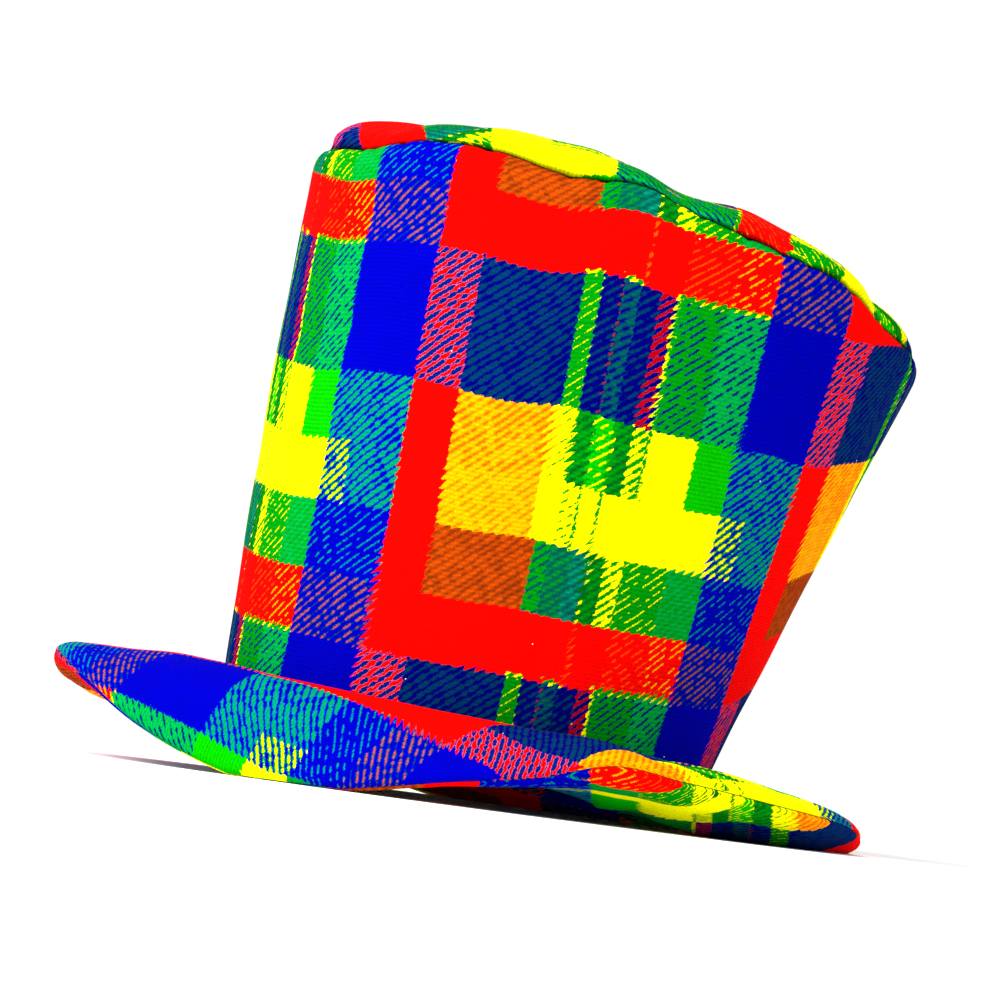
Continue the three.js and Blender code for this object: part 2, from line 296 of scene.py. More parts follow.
shift = frameShift()
print("hat: leaned and settled, shifted by", np.round(shift, 2).tolist(),
      "and lifted by", round(float(lift), 2))


# Creases and unevenness of the cloth, worked out along the surface normals

def ripple(azimuth, along, waves, seed):  # from about -1 to 1, whole waves round the hat
    chance = np.random.default_rng(seed)
    total = 0
    for turns, length in waves:
        phase = chance.uniform(0, 360, 2)
        total = total + cosd(turns * azimuth + phase[0]) * cosd(360 * along / length + phase[1])
    return total / len(waves)


def gathers(azimuth, distance, seam):  # creases that run off a seam, each with its own depth and reach
    chance = np.random.default_rng(seam["seed"])
    places = (np.arange(seam["count"]) + chance.uniform(-0.4, 0.4, seam["count"])) * 360 / seam["count"]
    total = 0
    for place in places:
        deep, wide, far, lean = chance.uniform((0.25, 0.6, 0.4, -1), 1)
        away = awayFrom(place - lean * seam["lean"] * distance, azimuth)
        crease = bell(away, seam["spread"] * wide)
        total = total - seam["depth"] * deep * crease * np.exp(-(distance / (seam["reach"] * far)) ** 1.5)
    return total


def dents(azimuth, share, rows):  # single dents, and swellings where depth is below zero
    total = 0
    for row in rows:
        up = share - row["share"]
        across = awayFrom(row["azimuth"], azimuth) / row["wide"] + up / row["tall"] * row.get("slant", 0)
        total = total - row["depth"] * np.exp(-across ** 2 - (up / row["tall"]) ** 2)
    return total


def normalsOf(points):  # of rows that go round, to the left of their direction
    turn = np.roll(points, -1, 0) - np.roll(points, 1, 0)
    normals = np.cross(turn, np.gradient(points, axis=1))
    return normals / np.maximum(np.linalg.norm(normals, axis=-1, keepdims=True), 1e-9)


def pathOf(points):  # mean length of cloth along the rows
    steps = np.linalg.norm(np.diff(points, axis=1), axis=-1).mean(0)
    return np.concatenate([[0], np.cumsum(steps)])[None, :]


# Meshes

sharpAngle = 50  # an edge that turns more than this is drawn sharp


def makeMesh(name, points, faces, cloth, crease, material):
    mesh = bpy.data.meshes.new(name)
    mesh.from_pydata(((points + shift) * mm).tolist(), [], faces)
    clothMap = mesh.uv_layers.new(name="cloth")
    clothMap.data.foreach_set("uv", np.array(cloth, np.float32).ravel())
    # each point keeps how much painted shade darkens its colour
    mesh.attributes.new("crease", "FLOAT", "POINT").data.foreach_set("value", crease.astype(np.float32))
    mesh.materials.append(material)
    mesh.polygons.foreach_set("use_smooth", [True] * len(mesh.polygons))
    mesh.set_sharp_from_angle(angle=math.radians(sharpAngle))
    mesh.validate()
    piece = bpy.data.objects.new(name, mesh)
    bpy.context.collection.objects.link(piece)
    return piece


def ringMesh(name, front, back, frontCloth, backCloth, material, crease=0):
    # front and back run the same way along the section; the ring closes from one to the other
    # painted shade for each point: as given on the front surface, none on the back
    paintedShades = np.concatenate([crease + 0 * front[..., 0], 0 * back[..., 0]], axis=1)
    points = np.concatenate([front, back[:, ::-1]], axis=1)
    cloth = np.concatenate([frontCloth, backCloth[:, ::-1]], axis=1)
    turns, rows = points.shape[:2]
    faces, uvs = [], []
    for turn in range(turns):
        after = (turn + 1) % turns
        for row in range(rows):
            up = (row + 1) % rows
            faces.append((turn * rows + row, after * rows + row, after * rows + up, turn * rows + up))
            uvs += [cloth[turn, row], cloth[turn + 1, row], cloth[turn + 1, up], cloth[turn, up]]
    return makeMesh(name, points.reshape(-1, 3), faces, uvs, paintedShades.ravel(), material)


def capMesh(name, front, back, frontCloth, backCloth, material, crease=0):
    # the same, but both surfaces end at the hat's axis, in their last row
    # painted shade for each point: as given on the outer surface, none on the inner one
    paintedShades = np.concatenate([(crease + 0 * front[..., 0])[:, :-1][:, ::-1], 0 * back[:, :-1, 0]], axis=1)
    points = np.concatenate([front[:, :-1][:, ::-1], back[:, :-1]], axis=1)
    cloth = np.concatenate([frontCloth[:, :-1][:, ::-1], backCloth[:, :-1]], axis=1)
    turns, rows = points.shape[:2]
    first, last = turns * rows, turns * rows + 1
    ends = np.stack([front[:, -1].mean(0), back[:, -1].mean(0)])
    endCloth = frontCloth[0, -1], backCloth[0, -1]
    faces, uvs = [], []
    for turn in range(turns):
        after = (turn + 1) % turns
        faces.append((first, turn * rows, after * rows))
        uvs += [endCloth[0], cloth[turn, 0], cloth[turn + 1, 0]]
        for row in range(rows - 1):
            near, far = turn * rows + row, after * rows + row
            faces.append((near, near + 1, far + 1, far))
            uvs += [cloth[turn, row], cloth[turn, row + 1], cloth[turn + 1, row + 1], cloth[turn + 1, row]]
        faces.append((last, after * rows + rows - 1, turn * rows + rows - 1))
        uvs += [endCloth[1], cloth[turn + 1, rows - 1], cloth[turn, rows - 1]]
    points = np.concatenate([points.reshape(-1, 3), ends])
    return makeMesh(name, points, faces, uvs, np.append(paintedShades, [0, 0]), material)


# The checked cloth. One repeat is 170 mm across the warp and 152 mm down the weft

class Value:  # wraps a socket of a material, so that its maths can be written as plain sums
    def __init__(self, socket):
        self.socket = socket

    def node(self, kind, settings, sockets):  # adds any node, with its settings and its sockets
        node = self.socket.id_data.nodes.new(kind)
        for name, setting in settings.items():
            setattr(node, name, setting)
        for name, value in sockets.items():
            if isinstance(value, Value):
                node.id_data.links.new(value.socket, node.inputs[name])
            else:
                node.inputs[name].default_value = value
        return node

    def math(self, operation, *values):
        node = self.node("ShaderNodeMath", {"operation": operation}, dict(enumerate(values)))
        return Value(node.outputs[0])

    def __add__(self, other):
        return self.math("ADD", self, other)

    def __sub__(self, other):
        return self.math("SUBTRACT", self, other)

    def __rsub__(self, other):
        return self.math("SUBTRACT", other, self)

    def __mul__(self, other):
        return self.math("MULTIPLY", self, other)

    def __truediv__(self, other):
        return self.math("DIVIDE", self, other)

    def __mod__(self, other):
        return self.math("FLOORED_MODULO", self, other)

    def __lt__(self, other):
        return self.math("LESS_THAN", self, other)

    def __gt__(self, other):
        return self.math("GREATER_THAN", self, other)

    __radd__ = __add__
    __rmul__ = __mul__

    def zigzag(self):  # goes from 0 up to 1 and back over each whole step
        return self.math("ABSOLUTE", (self % 1) * 2 - 1)

    def limited(self):
        return Value(self.node("ShaderNodeClamp", {}, {"Value": self}).outputs[0])

    def noise(self, other, detail):  # over this value and another one
        place = self.node("ShaderNodeCombineXYZ", {}, {"X": self, "Y": other})
        texture = self.node("ShaderNodeTexNoise", {"noise_dimensions": "2D"},
                            {"Vector": Value(place.outputs[0]), "Scale": 1, "Detail": detail})
        return Value(texture.outputs[0])

    def blend(self, first, second):  # this value is the share of the second colour
        mixed = self.node("ShaderNodeMix", {"data_type": "RGBA"}, {0: self, 6: first, 7: second})
        return Value(mixed.outputs[2])


clothUnit = 100  # mm of cloth to one unit of the map

plush = {
    "stroke": 2.75,       # pitch of the slanting strokes
    "strokeAngle": 41,
    "strokeLength": 3.7,
    "strokeWidth": (0.8, -0.05),  # slope and start of the height that a colour's share is cut at
    "wander": 26,         # length over which the strokes bend, and change how far they reach
    "bent": 0.6,
    "ragged": 0.9,        # how far the strokes fray an edge between two colours
    "raggedMost": 14,     # and where they reach furthest over it
    "raggedFrom": 0.52,
    "raggedWeft": 0.8,    # share of that at the edges of a band
    "fray": 1.1,          # size of the loose threads at an edge
    "frayed": 1.6,
    "broken": 0.36,       # how much of a stroke is lost where it breaks off
    "brokenFrom": 0.48,
    "brokenSharp": 6,
    "apart": 7.7,         # so that each stroke breaks in its own places
    "grain": 0.75,        # size of the specks that fray the strokes themselves
    "grained": 0.62,
    "soft": 0.07,         # how softly a stroke ends, unless softened says otherwise
    "rib": 1.67,
    "ribShade": 0.26,
    "ribHeight": 0.5,
    "pile": 0.45,
    "pileShade": 0.14,
    "pileHeight": 0.6,
    "fleck": 1.1,
    "fleckShade": 0.28,
    "patch": 9,
    "patchShade": 0.07,
    "paintedCreaseShade": 0.9,   # painted shade: how much darker the colour is drawn in a seam or along a fold
    "lint": 85,           # white specks lie about this far apart
    "lintSize": 0.26,
    "lintWhite": 0.8,
    "bump": 0.35,
    "bumpDepth": 0.3,
    "roughness": 0.95,
    "reflection": 0.01,
}

dyes = {  # screen colours
    "red": (255, 4, 1), "crimson": (172, 0, 7), "pink": (168, 70, 94), "lilac": (150, 96, 150),
    "yellow": (255, 255, 0), "amber": (255, 172, 0), "orange": (255, 84, 0), "rust": (194, 70, 3),
    "brown": (122, 41, 5), "brightGreen": (5, 178, 0), "green": (0, 140, 8), "darkGreen": (0, 90, 18),
    "sea": (0, 158, 60), "teal": (0, 140, 96), "darkTeal": (0, 81, 74), "slate": (0, 50, 88),
    "blue": (0, 0, 165), "denim": (0, 24, 112), "navy": (0, 0, 105),
}

warp = {  # stripes across one repeat, with their widths
    "blueEdge": 12, "blue": 25, "red": 20, "orange": 36, "orangeEdge": 3, "greenLine": 6.5, "navyOne": 7,
    "firstDots": 1, "tealLine": 6.5, "dots": 1.5, "navyTwo": 6.5, "redEdge": 6, "yellowLine": 1.5,
    "greenOne": 19.5, "greenTwo": 18,
}

redBand = {
    "rest": ("red", "red", 0), "blueEdge": ("blue", "pink", 0.3), "blue": ("blue", "pink", 0.3),
    "dots": ("red", "orange", 0.3), "greenOne": ("red", "orange", 0.04), "greenTwo": ("red", "amber", 0.14),
}

weft = [  # bands down one repeat; a cell is its ground, the colour of its strokes and their share
    {"width": 23.3, "cells": redBand},
    {"width": 1.5, "cells": {
        **redBand, "greenLine": ("yellow", "green", 0.45), "tealLine": ("green", "yellow", 0.45),
        "yellowLine": ("yellow", "green", 0.2), "greenOne": ("green", "yellow", 0.22),
        "greenTwo": ("green", "yellow", 0.22)}},
    {"width": 50.4, "cells": {
        "blueEdge": ("blue", "blue", 0), "blue": ("blue", "blue", 0), "red": ("red", "denim", 0.48),
        "orange": ("navy", "slate", 0.48), "orangeEdge": ("navy", "slate", 0.3),
        "greenLine": ("green", "yellow", -0.06), "navyOne": ("navy", "slate", 0.26),
        "firstDots": ("navy", "brown", 0.2), "tealLine": ("darkTeal", "navy", 0.42),
        "dots": ("navy", "slate", 0.3), "navyTwo": ("navy", "slate", 0.26),
        "redEdge": ("crimson", "navy", 0.45), "yellowLine": ("yellow", "green", 0.4),
        "greenOne": ("green", "navy", 0.22), "greenTwo": ("sea", "navy", 0.26)}},
    {"width": 26.8, "cells": {
        "blueEdge": ("blue", "teal", 0.5), "blue": ("blue", "teal", 0.5), "red": ("red", "red", 0),
        "orange": ("amber", "orange", 0.34), "orangeEdge": ("yellow", "amber", 0.4),
        "greenLine": ("yellow", "green", 0.12), "navyOne": ("green", "darkGreen", 0.45),
        "firstDots": ("green", "yellow", 0.2), "tealLine": ("brightGreen", "yellow", 0.12),
        "dots": ("green", "yellow", 0.2), "navyTwo": ("green", "darkGreen", 0.45),
        "redEdge": ("yellow", "green", 0.42), "yellowLine": ("green", "yellow", 0.3),
        "greenOne": ("yellow", "yellow", 0), "greenTwo": ("brightGreen", "brightGreen", 0)}},
    {"width": 23.5, "cells": {
        "blueEdge": ("blue", "yellow", 0.42), "blue": ("blue", "teal", 0.5), "red": ("red", "red", 0),
        "orange": ("amber", "orange", 0.14), "navyOne": ("yellow", "green", 0.18),
        "firstDots": ("green", "yellow", 0.35), "dots": ("green", "yellow", 0.3),
        "rest": ("yellow", "yellow", 0)}},
    {"width": 26.5, "cells": {
        "blueEdge": ("blue", "teal", 0.12), "blue": ("blue", "teal", 0.08), "red": ("red", "red", 0),
        "orange": ("brown", "rust", 0.5), "orangeEdge": ("brown", "rust", 0.5),
        "greenLine": ("green", "darkTeal", 0.3), "navyOne": ("darkTeal", "green", 0.3),
        "firstDots": ("darkTeal", "green", 0.3), "tealLine": ("darkTeal", "teal", 0.3),
        "dots": ("darkGreen", "yellow", 0.2), "navyTwo": ("darkGreen", "green", 0.35),
        "redEdge": ("yellow", "green", 0.38), "yellowLine": ("yellow", "green", 0.3),
        "greenOne": ("green", "yellow", 0.06), "greenTwo": ("sea", "green", 0.45)}},
]

rims = {  # thin outlines of the strokes, with their widths
    ("red", "denim"): ("lilac", 0.09), ("blue", "pink"): ("slate", 0.16),
    ("crimson", "navy"): ("lilac", 0.04), ("blue", "yellow"): ("green", 0.2),
}
noRim = ("lilac", 0)

softened = {  # how softly the strokes of two colours end
    ("amber", "orange"): 0.4, ("yellow", "amber"): 0.4, ("brown", "rust"): 0.5, ("navy", "slate"): 0.16,
    ("darkTeal", "navy"): 0.3, ("darkTeal", "green"): 0.5, ("darkTeal", "teal"): 0.5,
    ("green", "darkGreen"): 0.4, ("darkGreen", "green"): 0.5, ("sea", "green"): 0.5, ("blue", "teal"): 0.12,
    ("red", "orange"): 0.2, ("green", "navy"): 0.14, ("sea", "navy"): 0.14,
}


def dye(name, alpha=1):  # from a screen colour to light
    share = np.array(dyes[name]) / 255
    low, high = share / 12.92, ((share + 0.055) / 1.055) ** 2.4
    return (*np.where(share < 0.04045, low, high).tolist(), alpha)


def stripes(start, across, colours):  # a colour ramp with one flat stop for each warp stripe
    node = start.node("ShaderNodeValToRGB", {}, {"Fac": across})
    node.color_ramp.interpolation = "CONSTANT"
    stops = node.color_ramp.elements
    place = 0
    for index, (width, colour) in enumerate(zip(warp.values(), colours)):
        stop = stops[index] if index < 2 else stops.new(place / sum(warp.values()))
        stop.position = place / sum(warp.values())
        stop.color = colour
        place += width
    return [Value(output) for output in node.outputs]


def newCloth(name, look):  # a matt material, and the place on the cloth in mm
    material = bpy.data.materials.new(name)
    material.use_nodes = True
    shader = material.node_tree.nodes["Principled BSDF"]
    shader.inputs["Roughness"].default_value = look["roughness"]
    shader.inputs["Specular IOR Level"].default_value = look["reflection"]
    start = Value(shader.outputs[0])
    place = start.node("ShaderNodeUVMap", {"uv_map": "cloth"}, {})
    axes = start.node("ShaderNodeSeparateXYZ", {}, {"Vector": Value(place.outputs[0])})
    x, y = (Value(axes.outputs[index]) * clothUnit for index in (0, 1))
    return material, shader, x, y


def speckled(x, y, size, detail):
    return (x / size).noise(y / size, detail)


def checkedPlush():
    material, shader, x, y = newCloth("checkedPlush", plush)

    c, s = (float(turn(plush["strokeAngle"])) for turn in (cosd, sind))
    along, across = x * c + y * s, y * c - x * s
    lines = across / plush["stroke"] + speckled(along, across, plush["wander"], 1) * plush["bent"]
    wave = lines.zigzag()
    loss = (along / plush["strokeLength"]).noise(lines.math("FLOOR", lines) * plush["apart"], 0)
    loss = ((loss - plush["brokenFrom"]) * plush["brokenSharp"]).limited()
    grain = speckled(x, y, plush["grain"], 1) - 0.5
    slope, low = plush["strokeWidth"]
    stroke = wave * slope + low + loss * plush["broken"] + grain * plush["grained"]
    fray = speckled(x, y, plush["fray"], 2) - 0.5
    reach = (speckled(x, y, plush["wander"], 0) - plush["raggedFrom"]).limited()
    reach = reach * plush["raggedMost"] + plush["ragged"]
    edge = (wave - 0.5) * reach + fray * plush["ragged"] * plush["frayed"]

    stripe = ((x + edge) % sum(warp.values())) / sum(warp.values())
    down = (edge * plush["raggedWeft"] - y) % sum(band["width"] for band in weft)
    colour, top = None, 0
    for band in weft:
        cells = [band["cells"].get(name, band["cells"].get("rest")) for name in warp]
        soft = [softened.get(cell[:2], plush["soft"]) for cell in cells]
        ground, soft = stripes(x, stripe, [dye(cell[0], end) for cell, end in zip(cells, soft)])
        second, share = stripes(x, stripe, [dye(cell[1], cell[2]) for cell in cells])
        rim, width = stripes(x, stripe, [dye(*rims.get(cell[:2], noRim)) for cell in cells])
        over = stroke - share
        banded = (0.5 - over / soft / 2).limited().blend(ground, second)
        banded = ((width - over.math("ABSOLUTE", over)) / plush["soft"]).limited().blend(banded, rim)
        colour = banded if colour is None else (down > top).blend(colour, banded)
        top += band["width"]

    rib = (y / plush["rib"]).zigzag()
    pile = speckled(x, y, plush["pile"], 2)
    shade = 1 - rib * plush["ribShade"] + (pile - 0.5) * plush["pileShade"] * 2
    for spot in ("fleck", "patch"):
        shade = shade + (speckled(x, y, plush[spot], 2) - 0.5) * plush[spot + "Shade"] * 2
    # painted shade: the crease attribute darkens the colour in seams and along folds
    crease = x.node("ShaderNodeAttribute", {"attribute_name": "crease"}, {})
    shade = shade * (1 - Value(crease.outputs["Fac"]) * plush["paintedCreaseShade"])
    shaded = x.node("ShaderNodeVectorMath", {"operation": "SCALE"}, {"Vector": colour, "Scale": shade})
    cell = x.node("ShaderNodeCombineXYZ", {}, {"X": x / plush["lint"], "Y": y / plush["lint"]})
    lint = x.node("ShaderNodeTexVoronoi", {"voronoi_dimensions": "2D"},
                  {"Vector": Value(cell.outputs[0]), "Scale": 1})
    speck = Value(lint.outputs["Distance"]) * plush["lint"] < plush["lintSize"]
    final = (speck * plush["lintWhite"]).blend(Value(shaded.outputs[0]), (1, 1, 1, 1))
    height = pile * plush["pileHeight"] + rib * plush["ribHeight"]
    bump = x.node("ShaderNodeBump", {},
                  {"Height": height, "Strength": plush["bump"], "Distance": plush["bumpDepth"] * mm})
    for name, value in (("Base Color", final), ("Normal", Value(bump.outputs[0]))):
        material.node_tree.links.new(value.socket, shader.inputs[name])
    return material


thread = {
    "fleck": 0.5,
    "fleckFrom": 0.72,
    "black": (0.0015, 0.0015, 0.0018, 1),
    "grey": (0.02, 0.02, 0.022, 1),
    "roughness": 0.95,
    "reflection": 0.05,
}


def blackCloth():
    material, shader, x, y = newCloth("blackCloth", thread)
    fleck = speckled(x, y, thread["fleck"], 1) > thread["fleckFrom"]
    colour = fleck.blend(thread["black"], thread["grey"])
    material.node_tree.links.new(colour.socket, shader.inputs["Base Color"])
    return material


checked, black = checkedPlush(), blackCloth()
print("cloth: check of", len(warp), "stripes by", len(weft), "bands")


# The crown's pieces

crownLook = {
    "turns": 432,
    "wallRows": 96,
    "shoulderRows": 14,
    "tipRows": 60,
    "backRows": 14,
    "backTurn": (5, 4),    # first of the shoulder's rows that the inside keeps, and the step to the next
    "tipRowPower": 0.92,
    "clothSeam": 55,       # azimuth of the seam up the crown's back
    "seamDepth": 1.0,
    "seamWidth": 0.5,      # degrees
    "unevenness": 0.6,     # of the wall's foam
    "tipUnevenness": 0.8,
    "baseFade": (6, 20),   # swellings begin over this distance from a seam
    "topFade": (3, 16),
    "tipFade": (2, 14),
    "swellFade": (0, 6),
    "middleFade": (0, 60),  # and waves die out at the tip's middle
    "wallDeepest": 2.2,    # no crease goes deeper
    "tipDeepest": 2.4,
    "puckerDepth": 3.2,    # the tip's main gathers, as deep as the solid's
    "puckerSpread": 9,
    "puckerStart": 0.08,
    "puckerFade": 4,
    "tipCloth": {"warp": (0.07, -1), "weft": (1, 0.07), "right": 18, "up": 96},
    "tipSlack": {"azimuth": 345, "wide": 40, "stretch": 0.15, "twist": -6},
    # width in mm of the painted shade along the tip's seam
    "paintedShadeWidth": 1.7,
}

puckers = table(  # main gathers where the tip is sewn on, their depth as a share of puckerDepth
    ("azimuth", "depth"),
    (14, 0.6),
    (47, 0.8),
    (83, 0.5),
    (118, 0.9),
    (151, 0.6),
    (187, 0.8),
    (232, 0.7),
    (250, 0.4),
    (277, 1),
    (300, 0.9),
    (327, 0.7),
)

wallCloth = {  # how the check lies on the wall
    "right": 25,
    "up": -203,
    "lean": (0.055, 178),      # its rows rise to the right, less and less up to this height
    "askew": (4.9, -3.8, -6.8, 4.5),  # shift at the corner, then rightwards, downwards and both, for 100 mm
    "askewRight": (-0.1, 2.3),
    "askewDown": (0, 1.3),
    "drop": 5.6,
    "dropOver": (195, 245),
}

tipSeam = {"seed": 4, "count": 46, "depth": 1, "spread": 1.3, "reach": 17, "lean": 0.12}
crownBase = {"seed": 9, "count": 40, "depth": 1.1, "spread": 1.6, "reach": 14, "lean": 0.1}

tipSwells = table(  # fuller places of the tip, on top of the solid's shape
    ("azimuth", "share", "wide", "tall", "depth"),
    (207, 0.24, 24, 0.2, -4.4),
    (336, 0.12, 13, 0.14, -2.4),
    (194, 0.09, 9, 0.1, -3),
    (318, 0.14, 9, 0.12, -2.4),
    (266, 0.3, 8, 0.2, 1.5),
    (289, 0.3, 7, 0.2, 1.5),
)

foamWaves = [(3, 160), (5, 95), (8, 120), (11, 70), (17, 55)]

wallDents = table(  # share is up the wall, wide in degrees, tall a share of the wall, depth in mm
    ("azimuth", "share", "wide", "tall", "slant", "depth"),
    (226, 0.86, 20, 0.045, 0.5, 1.6),
    (218, 0.66, 15, 0.03, -0.4, 1.2),
    (205, 0.42, 16, 0.04, 0.3, 1.2),
    (252, 0.09, 9, 0.06, 0.6, 1.6),
    (281, 0.14, 3, 0.16, 0.2, 1.3),
    (318, 0.1, 4, 0.12, -0.4, 1.4),
    (344, 0.55, 6, 0.12, 0.9, 1.2),
    (12, 0.3, 8, 0.1, -0.8, 1.3),
    (60, 0.72, 14, 0.05, 0.4, 1.2),
    (95, 0.2, 7, 0.12, 0.7, 1.4),
    (140, 0.5, 16, 0.05, -0.5, 1.2),
    (170, 0.16, 8, 0.09, -0.6, 1.3),
)


def clothPlace(x, y):  # on the cloth map, from the top of the red band
    return stack(x, y) / clothUnit


def laidCloth(x, y, placing):  # warp and weft say how far the cloth goes on for each step along x and y
    places = [x * step[0] + y * step[1] for step in (placing["warp"], placing["weft"])]
    return clothPlace(places[0] + placing["right"], places[1] + placing["up"])


def startingAt(azimuth, turns):  # one column of azimuths, and one more to close the cloth
    return azimuth + np.arange(turns + 1)[:, None] * 360 / turns


def joined(rise, turn):  # rows of a surface, then the rows that turn its end
    return np.concatenate([rise, turn])


def wallSurface(azimuth, rows, turnRows, inward):
    heights = joined(rows, np.ones(len(turnRows)))[None, :]
    shoulders = joined(np.zeros(len(rows)), turnRows)[None, :]
    return wallPoint(azimuth, heights, shoulders, inward)


def makeCrownWall():
    closed = startingAt(crownLook["clothSeam"], crownLook["turns"])
    azimuth = closed[:-1]
    turnRows = sind(90 * np.linspace(0, 1, crownLook["shoulderRows"] + 1)[1:])
    outside = wallSurface(azimuth, np.linspace(0, 1, crownLook["wallRows"]), turnRows, 0)
    first, step = crownLook["backTurn"]
    backRows = np.linspace(0, 1, crownLook["backRows"])
    inside = wallSurface(azimuth, backRows, turnRows[first::step], crown["wall"])
    along = pathOf(outside)
    left = along[0, -1] - along
    relief = crownLook["unevenness"] * ripple(azimuth, along, foamWaves, 2)
    relief = relief + dents(azimuth, along / along[0, -1], wallDents)
    fade = ramp(along, *crownLook["baseFade"]) * ramp(left, *crownLook["topFade"])
    relief = np.maximum(relief, 0) * fade + np.minimum(relief, 0)
    relief = relief + gathers(azimuth, left, tipSeam) + gathers(azimuth, along, crownBase)
    away = awayFrom(crownLook["clothSeam"], azimuth)
    relief = relief - crownLook["seamDepth"] * bell(away, crownLook["seamWidth"])
    outside = outside + normalsOf(outside) * np.maximum(relief, -crownLook["wallDeepest"])[..., None]

    taper = (crown["topRadius"] - crown["radius"]) / along[0, -1]  # the cloth is cut as part of a wide ring
    apex = crown["radius"] / taper
    angle = (closed - crownLook["clothSeam"] - 180) * taper

    def ringCloth(path):
        x = (apex + path) * sind(angle)
        y = (apex + path) * cosd(angle) - apex
        rise, end = wallCloth["lean"]
        x, y = x + wallCloth["right"], y + rise * x * (1 - y / end) + wallCloth["up"]
        right = np.clip(x / clothUnit, *wallCloth["askewRight"])
        down = np.clip(-y / clothUnit, *wallCloth["askewDown"])
        corner, rightwards, downwards, both = wallCloth["askew"]
        x = x + corner + rightwards * right + downwards * down + both * right * down
        return clothPlace(x, y - wallCloth["drop"] * ramp(x, *wallCloth["dropOver"]))

    # painted shade along the wall's top, where it meets the tip's seam
    return ringMesh("crownWall", settle(outside), settle(inside), ringCloth(along), ringCloth(pathOf(inside)),
                    checked, bell(left, crownLook["paintedShadeWidth"]))


def puckered(azimuth, share):
    total = 0
    for row in puckers:
        away = np.abs(awayFrom(row["azimuth"], azimuth)) / crownLook["puckerSpread"]
        total = total + np.where(away < 1, row["depth"] * cosd(90 * away) ** 2, 0)
    fade = np.maximum(cosd(90 * share), 0) ** crownLook["puckerFade"]
    return crownLook["puckerDepth"] * total * fade * ramp(share, 0, crownLook["puckerStart"])


def makeCrownTip():
    closed = startingAt(0, crownLook["turns"])
    azimuth = closed[:-1]
    share = np.linspace(0, 1, crownLook["tipRows"])[None, :] ** crownLook["tipRowPower"]
    backShare = np.linspace(0, 1, crownLook["backRows"])[None, :]
    outside = tipPoint(azimuth, share, 0, puckered(azimuth, share))
    inside = tipPoint(azimuth, backShare, crown["tipWall"], 0)
    along = pathOf(outside)
    radius = along[0, -1] - along
    fade = ramp(radius, *crownLook["middleFade"]) * ramp(along, *crownLook["tipFade"])
    relief = crownLook["tipUnevenness"] * ripple(azimuth, along, foamWaves, 5) * fade
    relief = relief + gathers(azimuth, along, tipSeam)
    swells = dents(azimuth, along / along[0, -1], tipSwells)
    relief = relief + swells * ramp(along, *crownLook["swellFade"])
    outside = outside + normalsOf(outside) * np.maximum(relief, -crownLook["tipDeepest"])[..., None]
    slack = crownLook["tipSlack"]
    loose = bell(awayFrom(slack["azimuth"], closed), slack["wide"])
    wideRadius, turned = radius * (1 + slack["stretch"] * loose), closed + slack["twist"] * loose
    cloth = laidCloth(wideRadius * cosd(turned), wideRadius * sind(turned), crownLook["tipCloth"])
    backRadius = radius[0, 0] * (1 - backShare)
    backCloth = laidCloth(backRadius * cosd(closed), backRadius * sind(closed), crownLook["tipCloth"])
    # painted shade along the tip's edge, at its seam with the wall
    return capMesh("crownTip", settle(outside), settle(inside), cloth, backCloth, checked,
                   bell(along, crownLook["paintedShadeWidth"]))


liningLook = {
    "turns": 216,
    "wallRows": 44,
    "tipRows": 22,
    "tipDrop": 3.2,        # so that it stays clear of the tip
    "dropShare": 0.1,
    "wrinkle": 1.6,
    "wrinkled": 0.2,       # the higher, the more of it is wrinkled
    "wrinkleFade": 15,
    "middleFade": 40,
    "clothTurn": 2,        # mm of cloth for each degree
}

liningWaves = [(4, 80), (7, 60), (13, 140), (19, 90), (26, 70)]


def makeCrownLining():
    closed = startingAt(0, liningLook["turns"])
    azimuth = closed[:-1]
    rise = np.linspace(0, 1, liningLook["wallRows"])
    over = np.linspace(0, 1, liningLook["tipRows"] + 1)[None, :]

    def cup(inward):
        wall = wallSurface(azimuth, rise, [], crown["wall"] + inward)
        drop = liningLook["tipDrop"] * ramp(over, 0, liningLook["dropShare"])
        return np.concatenate([wall, tipPoint(azimuth, over, crown["tipWall"] + inward + drop, 0)], axis=1)

    outside, inside = cup(join["clearance"]), cup(join["clearance"] + crown["liningWall"])
    along = pathOf(inside)
    waves = ripple(azimuth, along, liningWaves, 3) + liningLook["wrinkled"]
    fade = ramp(along, 0, liningLook["wrinkleFade"]) * ramp(along[0, -1] - along, 0, liningLook["middleFade"])
    wrinkles = np.maximum(waves, 0) * liningLook["wrinkle"] * fade
    inside = inside - normalsOf(inside) * wrinkles[..., None]
    cloth = clothPlace(closed * liningLook["clothTurn"] + 0 * along, along + 0 * closed)
    return capMesh("crownLining", settle(outside), settle(inside), cloth, cloth, black)


# The brim's pieces

